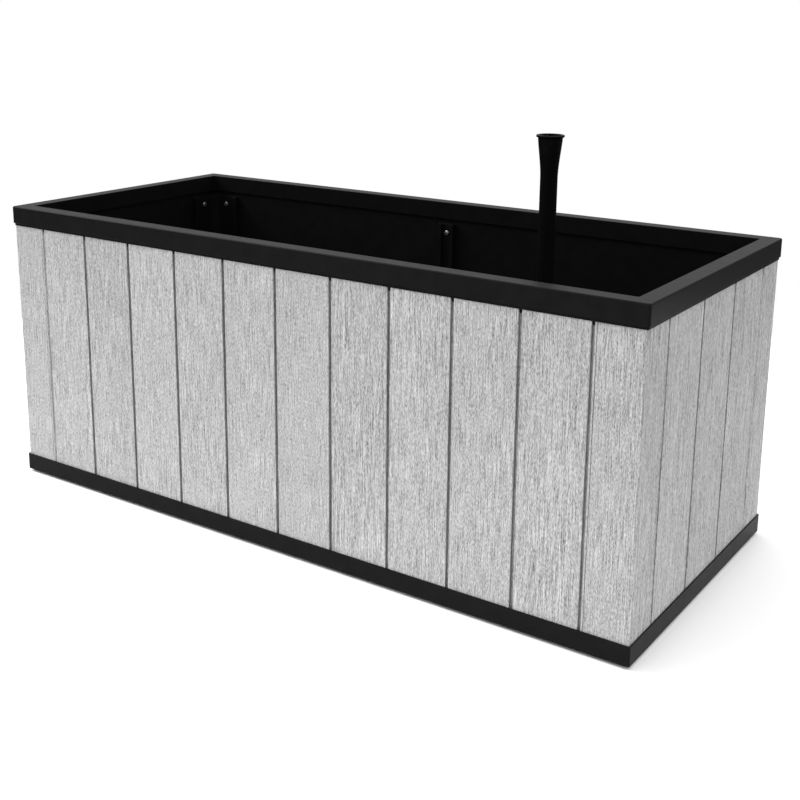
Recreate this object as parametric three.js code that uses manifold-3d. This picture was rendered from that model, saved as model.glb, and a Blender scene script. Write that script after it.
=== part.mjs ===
// Rectangular planter box with a water reservoir in its base. Millimetres, +Z up.
// The origin is on the floor, under the middle of the box. The long walls face -Y (front) and +Y (back).
// Tongue-and-groove boards stand in a moulded base tray and are held at the top by a one-piece rim.
// Black inner panels line the boards, and posts inside the corners and at mid wall are screwed to them.
// A two-part platform stands over the water, and a fill tube passes through it down to the tray.

import * as THREE from 'three';
import { mergeVertices } from 'three/addons/utils/BufferGeometryUtils.js';
import Module from 'manifold-3d';

const wasm = await Module();
wasm.setup();

// Walls, measured over the outer faces of the boards
const WALL_LENGTH = 1190;
const WALL_WIDTH = 518;
const BOARD_THICKNESS = 14;
const CORNER_LEG = 72.5;
const LONG_BOARD_COUNT = 10;
const SHORT_BOARD_COUNT = 3;
const FIT_GAP = 0.3;

// Joints between boards
const SEAM_WIDTH = 5;
const SEAM_DEPTH = 6;
const TONGUE_THICKNESS = 3.4;
const TONGUE_REACH = 8;
const SLOT_REACH = 8.5;
const EDGE_RADIUS = 0.8;
const CORNER_RADIUS = 2;
const SLOPE_REACH = 1.5;
const SCORE_INSET = 2.8;
const SCORE_WIDTH = 1.4;
const SCORE_DEPTH = 1.2;

// Heights above the floor
const TRAY_BOTTOM = 5;
const SKIRT_TOP = 34;
const TRAY_FLOOR = 3.5;
const RIM_TOP = 498;
const RIM_HEIGHT = 30;
const RIM_PLATE = 4;
const UPSTAND_TOP = 58;
const DECK_BOTTOM = 60;
const DECK_THICKNESS = 4;
const POST_BOTTOM = 66;
const POST_TOP = 459;

// Rim and tray, measured outwards (proud) or inwards (inset) from the boards' outer face
const RIM_PROUD = 3.2;
const RIM_SKIRT = 2.8;
const UNDER_LIP_PROUD = 1.2;
const UNDER_LIP_DROP = 4;
const RIM_CORNER_RADIUS = 4;
const RIM_EDGE_RADIUS = 2.5;
const OPENING_INSET = 24;
const OPENING_RADIUS = 3;
const LIP_THICKNESS = 3;
const TRAY_PROUD = 2.5;
const TRAY_SKIRT = 2.1;
const TRAY_CORNER_RADIUS = 2.5;
const INNER_FACE = OPENING_INSET - LIP_THICKNESS;

// Posts inside the box
const POST_LEG = 66;
const POST_WEB = 4;
const POST_RIB_WIDTH = 6.5;
const POST_RIB_DEPTH = 10;
const POST_COVE = 18;
const MID_POST_WIDTH = 31;

// Reservoir platform and wick baskets
const DECK_INSET = 26;
const DECK_LEG_RADIUS = 14;
const SLOT_LENGTH = 50;
const SLOT_WIDTH = 3.5;
const SLOT_PITCH_X = 80;
const SLOT_PITCH_Y = 60;
const BASKET_X = 430;
const BASKET_TOP_SIDE = 120;
const BASKET_BOTTOM_SIDE = 100;
const BASKET_WALL = 2.5;
const BASKET_FLANGE = 138;
const BASKET_BOTTOM = 12;

// Fill tube, by radius and height
const TUBE_X = 321;
const TUBE_TOP = 663;
const TUBE_RADIUS = 13.1;
const TUBE_WALL = 1.8;
const FUNNEL_RADIUS = 18.6;
const FUNNEL_LENGTH = 62;
const FLANGE_RADIUS = 21;
const FLANGE_THICKNESS = 3.4;
const COLLAR_RADIUS = TUBE_RADIUS + 4;
const COLLAR_BORE_RADIUS = TUBE_RADIUS + 0.6;
const COLLAR_HEIGHT = 16;

// Drain through the tray, on the back wall
const DRAIN_BOARD = 8;
const DRAIN_HEIGHT = 19;
const DRAIN_BORE_RADIUS = 7;
const DRAIN_POCKET_RADIUS = 12;
const DRAIN_POCKET_DEPTH = 6.5;
const DRAIN_BLOCK_WIDTH = 32;
const DRAIN_BLOCK_TOP = 32;
const SEAL_RADIUS = 9.2;
const SEAL_THICKNESS = 2;

const FOOT_RADIUS = 22;
const FOOT_INSET_X = 60;
const FOOT_INSET_Y = 50;

// Sizes that follow from the ones above
const WALL_BOTTOM = TRAY_BOTTOM + TRAY_FLOOR + FIT_GAP;
const WALL_TOP = RIM_TOP - RIM_PLATE - FIT_GAP;
const LONG_PITCH = (WALL_LENGTH - 2 * CORNER_LEG) / LONG_BOARD_COUNT;
const SHORT_PITCH = (WALL_WIDTH - 2 * CORNER_LEG) / SHORT_BOARD_COUNT;
const DRAIN_X = -LONG_PITCH * (DRAIN_BOARD - 0.5 - LONG_BOARD_COUNT / 2);
const DECK_TOP = DECK_BOTTOM + DECK_THICKNESS;

const boardFinish = { color: '#b9b9b7', roughness: 0.75, metalness: 0 };
const mouldingFinish = { color: '#1d1d1e', roughness: 0.45, metalness: 0 };
const panelFinish = { color: '#121213', roughness: 0.6, metalness: 0 };
const rubberFinish = { color: '#0c0c0c', roughness: 0.9, metalness: 0 };

const planter = new THREE.Group();

function addPiece(name, geometry, finish, parent = planter) {
  const mesh = new THREE.Mesh(geometry, new THREE.MeshStandardMaterial(finish));
  mesh.name = name;
  parent.add(mesh);
  return mesh;
}

// ---- Solids ----

function toManifold(geometry) {
  geometry.deleteAttribute('normal');
  geometry.deleteAttribute('uv');
  const merged = mergeVertices(geometry);
  const vertProperties = new Float32Array(merged.attributes.position.array);
  const triVerts = new Uint32Array(merged.index.array);
  return new wasm.Manifold(new wasm.Mesh({ numProp: 3, vertProperties, triVerts }));
}

function toGeometry(manifold) {
  const mesh = manifold.getMesh();
  const geometry = new THREE.BufferGeometry();
  geometry.setAttribute('position', new THREE.BufferAttribute(mesh.vertProperties, 3));
  geometry.setIndex(new THREE.BufferAttribute(mesh.triVerts, 1));
  geometry.computeVertexNormals();
  return geometry;
}

function prism(shape, bottom, top, curveSegments = 6) {
  const options = { depth: top - bottom, bevelEnabled: false, curveSegments };
  return new THREE.ExtrudeGeometry(shape, options).translate(0, 0, bottom);
}

function solidPrism(shape, bottom, top, curveSegments) {
  return toManifold(prism(shape, bottom, top, curveSegments));
}

function solidBox(sizeX, sizeY, sizeZ, x, y, z) {
  return toManifold(new THREE.BoxGeometry(sizeX, sizeY, sizeZ).translate(x, y, z));
}

// A turned solid about the Z axis, from its [radius, height] outline
function turned(outline, segments) {
  const points = outline.map(([radius, height]) => new THREE.Vector2(radius, height));
  return new THREE.LatheGeometry(points, segments).rotateX(Math.PI / 2);
}

function rectangle(sizeX, sizeY, x = 0, y = 0) {
  const shape = new THREE.Shape();
  shape.moveTo(x - sizeX / 2, y - sizeY / 2);
  shape.lineTo(x + sizeX / 2, y - sizeY / 2);
  shape.lineTo(x + sizeX / 2, y + sizeY / 2);
  shape.lineTo(x - sizeX / 2, y + sizeY / 2);
  shape.closePath();
  return shape;
}

function roundedRectangle(sizeX, sizeY, radius, x = 0, y = 0) {
  const shape = new THREE.Shape();
  const right = x + sizeX / 2 - radius;
  const left = x - sizeX / 2 + radius;
  const top = y + sizeY / 2 - radius;
  const bottom = y - sizeY / 2 + radius;
  shape.moveTo(left, bottom - radius);
  shape.lineTo(right, bottom - radius);
  shape.absarc(right, bottom, radius, -Math.PI / 2, 0, false);
  shape.absarc(right, top, radius, 0, Math.PI / 2, false);
  shape.absarc(left, top, radius, Math.PI / 2, Math.PI, false);
  shape.absarc(left, bottom, radius, Math.PI, Math.PI * 1.5, false);
  return shape;
}

// The wall's outline in plan, moved inwards by inset (or outwards, when inset is negative)
function wallOutline(inset, radius) {
  const sizeX = WALL_LENGTH - 2 * inset;
  const sizeY = WALL_WIDTH - 2 * inset;
  return radius > 0 ? roundedRectangle(sizeX, sizeY, radius) : rectangle(sizeX, sizeY);
}

function ringOutline(outer, inner) {
  outer.holes.push(inner);
  return outer;
}

// ---- Places ----

// The four walls in order round the box, seen from above: front, right, back, left.
// A wall's own frame has +X along the wall in that order, and +Y into the box.
const walls = [
  { name: 'front', count: LONG_BOARD_COUNT, pitch: LONG_PITCH, distance: WALL_WIDTH / 2 },
  { name: 'right', count: SHORT_BOARD_COUNT, pitch: SHORT_PITCH, distance: WALL_LENGTH / 2 },
  { name: 'back', count: LONG_BOARD_COUNT, pitch: LONG_PITCH, distance: WALL_WIDTH / 2 },
  { name: 'left', count: SHORT_BOARD_COUNT, pitch: SHORT_PITCH, distance: WALL_LENGTH / 2 },
];

function wallFrame(index, inset = 0) {
  const frame = new THREE.Group();
  const angle = index * Math.PI / 2;
  const distance = walls[index].distance - inset;
  frame.rotation.z = angle;
  frame.position.set(Math.sin(angle) * distance, -Math.cos(angle) * distance, 0);
  planter.add(frame);
  return frame;
}

// The corner that ends wall number index. Its frame has one leg along -X and the other along +Y.
const cornerNames = ['front_right', 'back_right', 'back_left', 'front_left'];

function cornerFrame(index, inset = 0) {
  const frame = new THREE.Group();
  const signX = index < 2 ? 1 : -1;
  const signY = index === 1 || index === 2 ? 1 : -1;
  frame.rotation.z = index * Math.PI / 2;
  frame.position.set(signX * (WALL_LENGTH / 2 - inset), signY * (WALL_WIDTH / 2 - inset), 0);
  planter.add(frame);
  return frame;
}

// ---- Boards ----

// A straight board in plan, with its outer face on Y = 0, a tongue on the right and a slot on the left
function boardOutline(pitch) {
  const half = pitch / 2;
  const edge = half - SEAM_WIDTH / 2;
  const tongueBack = SEAM_DEPTH + TONGUE_THICKNESS;
  const rear = half - FIT_GAP / 2;
  const shape = new THREE.Shape();
  shape.moveTo(-edge + EDGE_RADIUS, 0);
  shape.lineTo(edge - EDGE_RADIUS, 0);
  shape.absarc(edge - EDGE_RADIUS, EDGE_RADIUS, EDGE_RADIUS, -Math.PI / 2, 0, false);
  shape.lineTo(edge, SEAM_DEPTH);
  shape.lineTo(half + TONGUE_REACH, SEAM_DEPTH);
  shape.lineTo(half + TONGUE_REACH, tongueBack);
  shape.lineTo(rear, tongueBack);
  shape.lineTo(rear, BOARD_THICKNESS);
  shape.lineTo(-rear, BOARD_THICKNESS);
  shape.lineTo(-rear, tongueBack + FIT_GAP);
  shape.lineTo(-half + SLOT_REACH, tongueBack + FIT_GAP);
  shape.lineTo(-half + SLOT_REACH, SEAM_DEPTH - FIT_GAP);
  shape.lineTo(-edge, SEAM_DEPTH - FIT_GAP);
  shape.lineTo(-edge, EDGE_RADIUS);
  shape.absarc(-edge + EDGE_RADIUS, EDGE_RADIUS, EDGE_RADIUS, Math.PI, Math.PI * 1.5, false);
  return shape;
}

// A board that wraps round a corner: slot at the end of its -X leg, tongue at the end of its +Y leg.
// Both ends slope down into the seam, and a fine score line runs beside them.
function cornerOutline() {
  const edge = CORNER_LEG - SEAM_WIDTH / 2;
  const foot = CORNER_LEG + SLOPE_REACH;
  const score = edge - SCORE_INSET;
  const tongueBack = SEAM_DEPTH + TONGUE_THICKNESS;
  const rear = CORNER_LEG - FIT_GAP / 2;
  const shape = new THREE.Shape();
  shape.moveTo(-score + SCORE_WIDTH / 2, 0);
  shape.lineTo(-CORNER_RADIUS, 0);
  shape.absarc(-CORNER_RADIUS, CORNER_RADIUS, CORNER_RADIUS, -Math.PI / 2, 0, false);
  shape.lineTo(0, score - SCORE_WIDTH / 2);
  shape.lineTo(-SCORE_DEPTH, score);
  shape.lineTo(0, score + SCORE_WIDTH / 2);
  shape.lineTo(0, edge);
  shape.lineTo(-SEAM_DEPTH, foot);
  shape.lineTo(-SEAM_DEPTH, CORNER_LEG + TONGUE_REACH);
  shape.lineTo(-tongueBack, CORNER_LEG + TONGUE_REACH);
  shape.lineTo(-tongueBack, rear);
  shape.lineTo(-BOARD_THICKNESS, rear);
  shape.lineTo(-BOARD_THICKNESS, BOARD_THICKNESS);
  shape.lineTo(-rear, BOARD_THICKNESS);
  shape.lineTo(-rear, tongueBack + FIT_GAP);
  shape.lineTo(-CORNER_LEG + SLOT_REACH, tongueBack + FIT_GAP);
  shape.lineTo(-CORNER_LEG + SLOT_REACH, SEAM_DEPTH - FIT_GAP);
  shape.lineTo(-foot, SEAM_DEPTH - FIT_GAP);
  shape.lineTo(-edge, 0);
  shape.lineTo(-score - SCORE_WIDTH / 2, 0);
  shape.lineTo(-score, SCORE_DEPTH);
  shape.closePath();
  return shape;
}

// Room round the tray's drain block, cut out of whatever stands over it, in that piece's own frame
function drainNotch(x, depth) {
  const width = DRAIN_BLOCK_WIDTH + 2 * FIT_GAP;
  const height = 2 * (DRAIN_BLOCK_TOP + FIT_GAP - TRAY_BOTTOM);
  return solidBox(width, 4 * depth, height, x, 0, TRAY_BOTTOM);
}

function addBoards() {
  walls.forEach((wall, index) => {
    const frame = wallFrame(index);
    for (let number = 1; number <= wall.count; number += 1) {
      let geometry = prism(boardOutline(wall.pitch), WALL_BOTTOM, WALL_TOP, 3);
      if (wall.name === 'back' && number === DRAIN_BOARD) {
        geometry = toGeometry(toManifold(geometry).subtract(drainNotch(0, BOARD_THICKNESS)));
      }
      const board = addPiece(`${wall.name}_board_${number}`, geometry, boardFinish, frame);
      board.position.x = wall.pitch * (number - 0.5 - wall.count / 2);
    }
  });
  cornerNames.forEach((name, index) => {
    const geometry = prism(cornerOutline(), WALL_BOTTOM, WALL_TOP, 4);
    addPiece(`corner_board_${name}`, geometry, boardFinish, cornerFrame(index));
  });
}

// ---- Inner panels and posts ----

function addInnerPanels() {
  const outerFace = BOARD_THICKNESS + FIT_GAP;
  const thickness = INNER_FACE - FIT_GAP - outerFace;
  const height = WALL_TOP - WALL_BOTTOM;
  const middleZ = (WALL_TOP + WALL_BOTTOM) / 2;
  const longHalf = WALL_LENGTH / 2 - outerFace;
  const shortHalf = WALL_WIDTH / 2 - INNER_FACE;
  walls.forEach((wall, index) => {
    const frame = wallFrame(index, outerFace);
    if (wall.name === 'front' || wall.name === 'back') {
      for (const side of [-1, 1]) {
        // On the back wall +X of the wall's frame points to the box's left
        const isLeft = (side < 0) === (wall.name === 'front');
        const centre = side * (longHalf + FIT_GAP / 2) / 2;
        const width = longHalf - FIT_GAP / 2;
        let geometry = new THREE.BoxGeometry(width, thickness, height);
        geometry.translate(centre, thickness / 2, middleZ);
        if (wall.name === 'back' && isLeft) {
          geometry = toGeometry(toManifold(geometry).subtract(drainNotch(-DRAIN_X, BOARD_THICKNESS)));
        }
        addPiece(`inner_panel_${wall.name}_${isLeft ? 'left' : 'right'}`, geometry, panelFinish, frame);
      }
    } else {
      const geometry = new THREE.BoxGeometry(2 * shortHalf, thickness, height);
      addPiece(`inner_panel_${wall.name}`, geometry.translate(0, thickness / 2, middleZ), panelFinish, frame);
    }
  });
}

// An angle post: two webs with a rib along each free edge, and a cove in the corner between them
function cornerPostOutline() {
  const ribStart = POST_LEG - POST_RIB_WIDTH;
  const coveCentre = POST_WEB + POST_COVE;
  const shape = new THREE.Shape();
  shape.moveTo(0, 0);
  shape.lineTo(0, POST_LEG);
  shape.lineTo(-POST_RIB_DEPTH, POST_LEG);
  shape.lineTo(-POST_RIB_DEPTH, ribStart);
  shape.lineTo(-POST_WEB, ribStart);
  shape.lineTo(-POST_WEB, coveCentre);
  shape.absarc(-coveCentre, coveCentre, POST_COVE, 0, -Math.PI / 2, true);
  shape.lineTo(-ribStart, POST_WEB);
  shape.lineTo(-ribStart, POST_RIB_DEPTH);
  shape.lineTo(-POST_LEG, POST_RIB_DEPTH);
  shape.lineTo(-POST_LEG, 0);
  shape.closePath();
  return shape;
}

// A channel post, open to the inside of the box, with a rib along each edge
function midPostOutline() {
  const half = MID_POST_WIDTH / 2;
  const ribStart = half - POST_RIB_WIDTH;
  const shape = new THREE.Shape();
  shape.moveTo(-half, 0);
  shape.lineTo(half, 0);
  shape.lineTo(half, POST_RIB_DEPTH);
  shape.lineTo(ribStart, POST_RIB_DEPTH);
  shape.lineTo(ribStart, POST_WEB);
  shape.lineTo(-ribStart, POST_WEB);
  shape.lineTo(-ribStart, POST_RIB_DEPTH);
  shape.lineTo(-half, POST_RIB_DEPTH);
  shape.closePath();
  return shape;
}

function addPosts() {
  cornerNames.forEach((name, index) => {
    const geometry = prism(cornerPostOutline(), POST_BOTTOM, POST_TOP, 6);
    addPiece(`corner_post_${name}`, geometry, panelFinish, cornerFrame(index, INNER_FACE));
  });
  for (const index of [0, 2]) {
    const geometry = prism(midPostOutline(), POST_BOTTOM, POST_TOP);
    addPiece(`mid_post_${walls[index].name}`, geometry, panelFinish, wallFrame(index, INNER_FACE));
  }
}

// ---- Rim and tray ----

// A channel turned upside down over the tops of the walls, with a soft outer edge.
// Behind its outer skirt a thin lip reaches lower, close to the boards.
function addRim() {
  const bottom = RIM_TOP - RIM_HEIGHT;
  const blank = new THREE.ExtrudeGeometry(wallOutline(-RIM_PROUD, RIM_CORNER_RADIUS), {
    depth: RIM_HEIGHT,
    bevelThickness: RIM_EDGE_RADIUS,
    bevelSize: RIM_EDGE_RADIUS,
    bevelOffset: -RIM_EDGE_RADIUS,
    bevelSegments: 4,
    curveSegments: 4,
  });
  blank.translate(0, 0, RIM_TOP - RIM_HEIGHT - RIM_EDGE_RADIUS);
  const opening = solidPrism(wallOutline(OPENING_INSET, OPENING_RADIUS), bottom - 1, RIM_TOP + 1, 6);
  const channelOuter = wallOutline(RIM_SKIRT - RIM_PROUD, CORNER_RADIUS);
  const channelInner = wallOutline(INNER_FACE, OPENING_RADIUS + LIP_THICKNESS);
  const channel = solidPrism(ringOutline(channelOuter, channelInner), bottom - 1, RIM_TOP - RIM_PLATE, 6);
  const below = solidBox(WALL_LENGTH * 2, WALL_WIDTH * 2, RIM_HEIGHT, 0, 0, bottom - RIM_HEIGHT / 2);
  const lipOuter = wallOutline(-UNDER_LIP_PROUD, CORNER_RADIUS + UNDER_LIP_PROUD);
  const lipInner = wallOutline(RIM_SKIRT - RIM_PROUD, CORNER_RADIUS);
  const lip = solidPrism(ringOutline(lipOuter, lipInner), bottom - UNDER_LIP_DROP, bottom + 1, 6);
  const rim = toManifold(blank).subtract(below).subtract(opening).subtract(channel).add(lip);
  addPiece('top_rim', toGeometry(rim), mouldingFinish);
}

function drainCylinder(radius, fromY, toY) {
  const geometry = new THREE.CylinderGeometry(radius, radius, toY - fromY, 32);
  return toManifold(geometry.translate(DRAIN_X, (fromY + toY) / 2, DRAIN_HEIGHT));
}

// One moulding: floor, low outer skirt, and a higher upstand inside the walls that holds the water
function addTray() {
  const outerFace = WALL_WIDTH / 2 + TRAY_PROUD;
  const innerFace = WALL_WIDTH / 2 - OPENING_INSET;
  const floorTop = TRAY_BOTTOM + TRAY_FLOOR;
  const floor = solidPrism(wallOutline(-TRAY_PROUD, TRAY_CORNER_RADIUS), TRAY_BOTTOM, floorTop);
  const skirtOuter = wallOutline(-TRAY_PROUD, TRAY_CORNER_RADIUS);
  const skirtInner = wallOutline(TRAY_SKIRT - TRAY_PROUD, 1);
  const skirt = solidPrism(ringOutline(skirtOuter, skirtInner), TRAY_BOTTOM, SKIRT_TOP);
  const upstandOutline = ringOutline(wallOutline(INNER_FACE, 0), wallOutline(OPENING_INSET, 0));
  const upstand = solidPrism(upstandOutline, TRAY_BOTTOM, UPSTAND_TOP);
  const blockLength = outerFace - innerFace - 1;
  const blockHeight = DRAIN_BLOCK_TOP - TRAY_BOTTOM;
  const blockY = (outerFace + innerFace) / 2;
  const block = solidBox(
    DRAIN_BLOCK_WIDTH, blockLength, blockHeight, DRAIN_X, blockY, TRAY_BOTTOM + blockHeight / 2);
  const bore = drainCylinder(DRAIN_BORE_RADIUS, innerFace - 5, outerFace + 5);
  const pocket = drainCylinder(DRAIN_POCKET_RADIUS, outerFace - DRAIN_POCKET_DEPTH, outerFace + 5);
  const tray = floor.add(skirt).add(upstand).add(block).subtract(bore).subtract(pocket);
  addPiece('base_tray', toGeometry(tray), mouldingFinish);
}

function addFeet() {
  const height = TRAY_BOTTOM - FIT_GAP;
  const outline = [[0, 0], [FOOT_RADIUS - 1, 0], [FOOT_RADIUS, 1], [FOOT_RADIUS, height], [0, height]];
  const footX = WALL_LENGTH / 2 - FOOT_INSET_X;
  const footY = WALL_WIDTH / 2 - FOOT_INSET_Y;
  const sides = [['front', -1], ['back', 1]];
  const places = [['left', -1], ['middle', 0], ['right', 1]];
  for (const [sideName, signY] of sides) {
    for (const [placeName, signX] of places) {
      const foot = addPiece(`foot_${sideName}_${placeName}`, turned(outline, 24), rubberFinish);
      foot.position.set(signX * footX, signY * footY, 0);
    }
  }
}

// ---- Reservoir platform ----

const deckLegs = [60, 250, 520].flatMap((x) => [[x, -170], [x, 170]]);

function isClearForSlot(x, y) {
  const nearLeg = deckLegs.some(([legX, legY]) => Math.hypot(x - legX, y - legY) < SLOT_LENGTH);
  const besideBasket = Math.abs(x - BASKET_X) < (BASKET_FLANGE + SLOT_LENGTH) / 2;
  const nearBasket = besideBasket && Math.abs(y) < BASKET_FLANGE / 2;
  const nearTube = Math.hypot(x - TUBE_X, y) < 2 * SLOT_LENGTH;
  return !nearLeg && !nearBasket && !nearTube;
}

// One half of the platform, for the right-hand side of the box
function deckHalf(hasTubeHole) {
  const innerEdge = 2;
  const outerEdge = WALL_LENGTH / 2 - DECK_INSET;
  const depth = WALL_WIDTH - 2 * DECK_INSET;
  const holeSide = BASKET_TOP_SIDE + 2;
  const legTop = DECK_TOP - 1;
  const outline = roundedRectangle(outerEdge - innerEdge, depth, 3, (outerEdge + innerEdge) / 2, 0);
  const middleZ = (DECK_BOTTOM + DECK_TOP) / 2;
  let deck = solidPrism(outline, DECK_BOTTOM, DECK_TOP);
  deck = deck.subtract(solidBox(holeSide, holeSide, 2 * DECK_THICKNESS, BASKET_X, 0, middleZ));
  for (let x = SLOT_PITCH_X / 2; x < outerEdge - SLOT_LENGTH; x += SLOT_PITCH_X) {
    for (let row = -3.5; row <= 3.5; row += 1) {
      const y = row * SLOT_PITCH_Y;
      if (isClearForSlot(x, y)) {
        deck = deck.subtract(solidBox(SLOT_LENGTH, SLOT_WIDTH, 2 * DECK_THICKNESS, x, y, middleZ));
      }
    }
  }
  for (const [x, y] of deckLegs) {
    const leg = new THREE.CylinderGeometry(DECK_LEG_RADIUS, DECK_LEG_RADIUS - 4, legTop - WALL_BOTTOM, 20);
    deck = deck.add(toManifold(leg.rotateX(Math.PI / 2).translate(x, y, (legTop + WALL_BOTTOM) / 2)));
  }
  if (hasTubeHole) {
    const collar = new THREE.CylinderGeometry(COLLAR_RADIUS, COLLAR_RADIUS, COLLAR_HEIGHT, 32);
    const hole = new THREE.CylinderGeometry(COLLAR_BORE_RADIUS, COLLAR_BORE_RADIUS, 2 * COLLAR_HEIGHT, 32);
    const collarZ = DECK_BOTTOM + COLLAR_HEIGHT / 2;
    deck = deck.add(toManifold(collar.rotateX(Math.PI / 2).translate(TUBE_X, 0, collarZ)));
    deck = deck.subtract(toManifold(hole.rotateX(Math.PI / 2).translate(TUBE_X, 0, collarZ)));
  }
  return toGeometry(deck);
}

// A four-sided taper, wide at the top
function solidTaper(bottomSide, topSide, bottom, top) {
  const geometry = new THREE.CylinderGeometry(topSide / Math.SQRT2, bottomSide / Math.SQRT2, top - bottom, 4);
  geometry.rotateY(Math.PI / 4);
  geometry.rotateX(Math.PI / 2);
  return toManifold(geometry.translate(0, 0, (top + bottom) / 2));
}

// A slotted basket of soil that hangs through the deck by its flange, down into the water
function wickBasket() {
  const flangeBottom = DECK_TOP + FIT_GAP;
  const flangeTop = flangeBottom + 2;
  const slope = (BASKET_TOP_SIDE - BASKET_BOTTOM_SIDE) / (flangeTop - BASKET_BOTTOM);
  const innerTop = BASKET_TOP_SIDE - 2 * BASKET_WALL + slope;
  const innerBottom = BASKET_BOTTOM_SIDE - 2 * BASKET_WALL + slope * BASKET_WALL;
  const flange = solidPrism(roundedRectangle(BASKET_FLANGE, BASKET_FLANGE, 4), flangeBottom, flangeTop);
  let basket = solidTaper(BASKET_BOTTOM_SIDE, BASKET_TOP_SIDE, BASKET_BOTTOM, flangeTop).add(flange);
  basket = basket.subtract(solidTaper(innerBottom, innerTop, BASKET_BOTTOM + BASKET_WALL, flangeTop + 1));
  for (const offset of [-32, -16, 0, 16, 32]) {
    basket = basket.subtract(solidBox(4, 200, 34, offset, 0, 36));
    basket = basket.subtract(solidBox(200, 4, 34, 0, offset, 36));
  }
  return toGeometry(basket);
}

function addPlatform() {
  addPiece('reservoir_platform_right', deckHalf(true), mouldingFinish);
  addPiece('reservoir_platform_left', deckHalf(false).rotateZ(Math.PI), mouldingFinish);
  addPiece('wick_basket_right', wickBasket(), mouldingFinish).position.x = BASKET_X;
  addPiece('wick_basket_left', wickBasket(), mouldingFinish).position.x = -BASKET_X;
}

// ---- Fill tube and drain ----

// A long open tube with a flared, flanged mouth, and two notches at its foot that let the water out
function addFillTube() {
  const bottom = WALL_BOTTOM;
  const flareTop = TUBE_TOP - FLANGE_THICKNESS;
  const flareBottom = TUBE_TOP - FUNNEL_LENGTH;
  const flare = new THREE.CubicBezierCurve(
    new THREE.Vector2(TUBE_RADIUS, flareBottom),
    new THREE.Vector2(TUBE_RADIUS + 0.4, flareBottom + FUNNEL_LENGTH * 0.35),
    new THREE.Vector2(FUNNEL_RADIUS - 2.2, flareTop - FUNNEL_LENGTH * 0.4),
    new THREE.Vector2(FUNNEL_RADIUS, flareTop),
  ).getPoints(8);
  const outside = flare.map((point) => [point.x, point.y]);
  const inside = flare.map((point) => [point.x - TUBE_WALL, point.y]).reverse();
  const outline = [
    [TUBE_RADIUS, bottom],
    ...outside,
    [FLANGE_RADIUS - 0.8, flareTop],
    [FLANGE_RADIUS, flareTop + 0.8],
    [FLANGE_RADIUS, TUBE_TOP - 0.8],
    [FLANGE_RADIUS - 0.8, TUBE_TOP],
    [FUNNEL_RADIUS - TUBE_WALL + 0.8, TUBE_TOP],
    ...inside,
    [TUBE_RADIUS - TUBE_WALL, bottom],
    [TUBE_RADIUS, bottom],
  ];
  const notch = solidBox(8, 4 * TUBE_RADIUS, 24, 0, 0, bottom);
  const tube = toManifold(turned(outline, 32)).subtract(notch);
  addPiece('fill_tube', toGeometry(tube), mouldingFinish).position.x = TUBE_X;
}

// A push-in plug that lies in the pocket of the drain, with a finger rib across its head
function addDrain() {
  const outerFace = WALL_WIDTH / 2 + TRAY_PROUD;
  const pocketFloor = outerFace - DRAIN_POCKET_DEPTH;
  const headStart = SEAL_THICKNESS + 0.4;
  const headEnd = DRAIN_POCKET_DEPTH - 1.6;
  const headRadius = DRAIN_POCKET_RADIUS - 0.8;
  const shaftRadius = DRAIN_BORE_RADIUS - 0.3;
  const shaftLength = 19;
  const outline = [
    [0, -shaftLength], [shaftRadius - 1.5, -shaftLength], [shaftRadius, -shaftLength + 3],
    [shaftRadius, headStart], [headRadius, headStart], [headRadius, headEnd - 0.6],
    [headRadius - 0.6, headEnd], [0, headEnd],
  ];
  const rib = solidBox(3, 2 * headRadius - 5, 3, 0, 0, headEnd);
  const plug = toGeometry(toManifold(turned(outline, 24)).add(rib));
  const drainFrame = new THREE.Group();
  drainFrame.position.set(DRAIN_X, pocketFloor, DRAIN_HEIGHT);
  drainFrame.rotation.x = -Math.PI / 2;
  planter.add(drainFrame);
  addPiece('drain_plug', plug, mouldingFinish, drainFrame);

  const sealOutline = [];
  const sealSides = 8;
  for (let side = 0; side <= sealSides; side += 1) {
    const angle = side % sealSides * 2 * Math.PI / sealSides;
    const half = SEAL_THICKNESS / 2;
    sealOutline.push([SEAL_RADIUS + half * Math.cos(angle), half * Math.sin(angle)]);
  }
  const seal = addPiece('drain_seal', turned(sealOutline, 24), rubberFinish, drainFrame);
  seal.position.z = SEAL_THICKNESS / 2 + 0.2;
}

addTray();
addFeet();
addBoards();
addInnerPanels();
addPosts();
addRim();
addPlatform();
addFillTube();
addDrain();

export default planter;
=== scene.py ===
import math

import bmesh
import bpy
import numpy as np
from mathutils import Matrix, Vector


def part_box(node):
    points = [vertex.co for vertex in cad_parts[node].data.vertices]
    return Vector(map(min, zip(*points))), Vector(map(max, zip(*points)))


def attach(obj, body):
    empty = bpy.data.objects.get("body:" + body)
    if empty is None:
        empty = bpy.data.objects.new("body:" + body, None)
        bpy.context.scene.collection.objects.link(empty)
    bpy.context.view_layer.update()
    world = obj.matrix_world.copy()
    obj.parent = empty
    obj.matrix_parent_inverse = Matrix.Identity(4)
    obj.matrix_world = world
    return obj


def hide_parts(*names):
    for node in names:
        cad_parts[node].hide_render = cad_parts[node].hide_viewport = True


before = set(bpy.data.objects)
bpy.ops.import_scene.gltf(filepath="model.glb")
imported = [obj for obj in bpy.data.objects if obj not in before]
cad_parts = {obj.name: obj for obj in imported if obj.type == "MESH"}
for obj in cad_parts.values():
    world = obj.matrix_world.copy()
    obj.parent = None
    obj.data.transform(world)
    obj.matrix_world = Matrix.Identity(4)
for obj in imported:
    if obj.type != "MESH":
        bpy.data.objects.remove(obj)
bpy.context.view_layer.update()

# A grey board planter box with a black rim, base tray, water reservoir and fill tube.
# Everything is in metres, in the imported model's frame: +Z up, the front wall facing -Y.

# ---- Sizes of the walls, from the frame ----

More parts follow.
